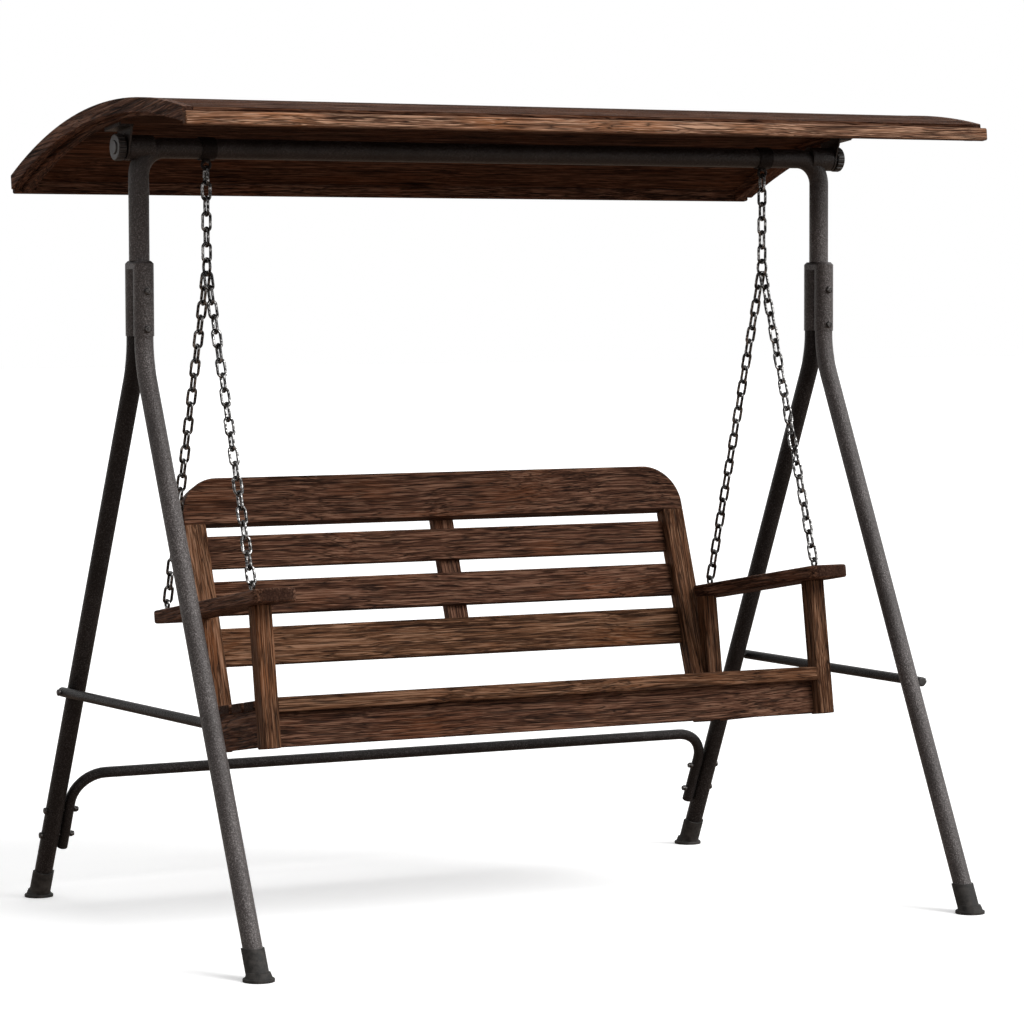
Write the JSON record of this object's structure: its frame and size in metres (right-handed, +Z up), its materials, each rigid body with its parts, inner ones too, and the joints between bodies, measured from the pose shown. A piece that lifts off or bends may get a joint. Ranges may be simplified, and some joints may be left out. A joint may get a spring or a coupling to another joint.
{
  "type": "porch swing",
  "caption": "Slatted wooden porch swing bench hung on chains from a steel A-frame stand, under a tilting arched plank roof.",
  "frame": {"origin": "on the ground, midway between the two A-frames and between the front and rear feet", "axes": "+X along the bench to its right end, -Y is the open front of the seat, +Z is up"},
  "size_m": [1.95, 1.302, 1.7948],
  "materials": {
    "frame_steel": "hammered dark brown-black powder coat",
    "dark_walnut": "dark stained, open grain",
    "light_walnut": "stained, satin, open grain",
    "rubber_foot": "matt",
    "black_plastic": "matt moulded",
    "dark_chain": "dark zinc plated",
    "fixings": "blackened steel"
  },
  "bodies": {
    "stand": {"crossbar": "frame_steel", "rear_stabiliser": "frame_steel", "brace_end_plugs": "black_plastic", "pivot_hubs": "frame_steel", "hanger_clamps": "dark_chain", "socket_bolts": "fixings", "brace_screws": "fixings", "stabiliser_bolts": "fixings", "cap_nuts": "fixings", "post_left": "frame_steel", "leg_socket_left": "frame_steel", "side_brace_left": "frame_steel", "leg_front_left": "frame_steel", "foot_front_left": "rubber_foot", "leg_rear_left": "frame_steel", "foot_rear_left": "rubber_foot", "post_right": "frame_steel", "leg_socket_right": "frame_steel", "side_brace_right": "frame_steel", "leg_front_right": "frame_steel", "foot_front_right": "rubber_foot", "leg_rear_right": "frame_steel", "foot_rear_right": "rubber_foot"},
    "roof": {"roof_inner_ribs": "dark_walnut", "roof_planks": "dark_walnut", "roof_screws": "fixings", "roof_front_fascia": "light_walnut", "roof_rear_fascia": "dark_walnut", "roof_end_rib_left": "dark_walnut", "roof_bracket_left": "frame_steel", "roof_end_rib_right": "dark_walnut", "roof_bracket_right": "frame_steel"},
    "bench": {"front_apron": "dark_walnut", "rear_rail": "dark_walnut", "seat_front_slat": "dark_walnut", "seat_slats": "dark_walnut", "seat_bearers": "dark_walnut", "back_top_rail": "dark_walnut", "back_centre_stile": "dark_walnut", "bench_screws": "fixings", "arm_eye_bolts": "dark_chain", "back_slat_bottom": "dark_walnut", "back_slat_middle": "dark_walnut", "back_slat_top": "dark_walnut", "arm_post_front_left": "light_walnut", "arm_post_rear_left": "light_walnut", "armrest_left": "dark_walnut", "side_apron_left": "dark_walnut", "back_stile_left": "dark_walnut", "bench_chain_left": "dark_chain", "arm_post_front_right": "light_walnut", "arm_post_rear_right": "light_walnut", "armrest_right": "dark_walnut", "side_apron_right": "dark_walnut", "back_stile_right": "dark_walnut", "bench_chain_right": "dark_chain"},
    "hanger_left": {"hanger_chain_left": "dark_chain"},
    "hanger_right": {"hanger_chain_right": "dark_chain"},
    "knob_left": {"tilt_knob_left": "black_plastic"},
    "knob_right": {"tilt_knob_right": "black_plastic"}
  },
  "joints": [
    {"name": "swing_left", "type": "hinge", "parent": "stand", "child": "hanger_left", "pos_m": [-0.705, 0, 1.656], "axis": [1, 0, 0], "range_deg": [-20, 20]},
    {"name": "swing_right", "type": "hinge", "parent": "stand", "child": "hanger_right", "pos_m": [0.705, 0, 1.656], "axis": [1, 0, 0], "range_deg": [-20, 20]},
    {"name": "bench_rock", "type": "hinge", "parent": "hanger_left", "child": "bench", "pos_m": [-0.705, 0, 1.44525], "axis": [1, 0, 0], "range_deg": [-7, 7]},
    {"name": "roof_tilt", "type": "hinge", "parent": "stand", "child": "roof", "pos_m": [0, 0, 1.7], "axis": [1, 0, 0], "range_deg": [-20, 25]},
    {"name": "knob_turn_left", "type": "hinge", "parent": "stand", "child": "knob_left", "pos_m": [-0.9, 0, 1.7], "axis": [-1, 0, 0], "range_deg": [0, 360]},
    {"name": "knob_turn_right", "type": "hinge", "parent": "stand", "child": "knob_right", "pos_m": [0.9, 0, 1.7], "axis": [1, 0, 0], "range_deg": [0, 360]}
  ],
  "couplings": [
    {"joint": "swing_right", "follows": "swing_left", "ratio": 1}
  ]
}
